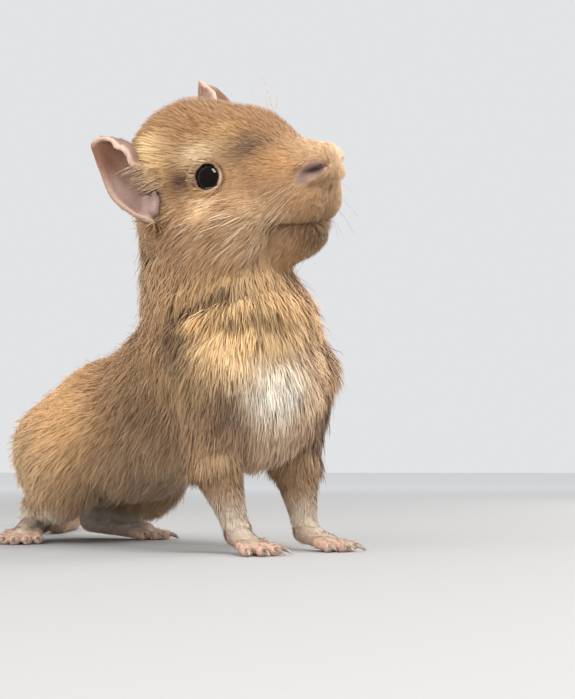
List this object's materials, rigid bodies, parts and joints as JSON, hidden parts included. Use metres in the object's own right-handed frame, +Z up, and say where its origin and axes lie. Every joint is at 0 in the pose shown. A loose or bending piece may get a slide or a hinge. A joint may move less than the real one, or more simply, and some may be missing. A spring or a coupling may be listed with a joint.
{
  "type": "degu",
  "caption": "Life-size still model of a sandy, blond degu standing on all fours, forequarters raised and neck stretched up, tail laid on the floor behind.",
  "frame": {"origin": "on the floor, under the middle of the bounding box", "axes": "+X the way the animal's body faces, +Y its left side, +Z up"},
  "size_m": [0.22, 0.099, 0.1246],
  "materials": {
    "head_coat": "short fur, orange tan, lying back from the nose",
    "body_coat": "soft fur, sandy to grey brown, lying back and down",
    "tail_coat": "thin bristly hair with a longer tuft at the end",
    "ear_skin": "thin skin, fine hairs, mauve pink",
    "foot_skin": "granular pink skin under short white hair",
    "eye": "wet, near black",
    "claw": "horn, satin",
    "whisker": "stiff pale hairs"
  },
  "bodies": {
    "root": {"chest": "body_coat", "ear_left": "ear_skin", "ear_right": "ear_skin", "eye_left": "eye", "eye_right": "eye", "forearm_left": "body_coat", "forearm_right": "body_coat", "forefoot_left": "foot_skin", "forefoot_right": "foot_skin", "head": "head_coat", "hindfoot_left": "foot_skin", "hindfoot_right": "foot_skin", "loin": "body_coat", "neck": "head_coat", "rump": "body_coat", "tail_1": "tail_coat", "tail_2": "tail_coat", "tail_3": "tail_coat", "tail_4": "tail_coat", "tail_5": "tail_coat", "thigh_left": "body_coat", "thigh_right": "body_coat", "upper_arm_left": "body_coat", "upper_arm_right": "body_coat"}
  },
  "joints": []
}
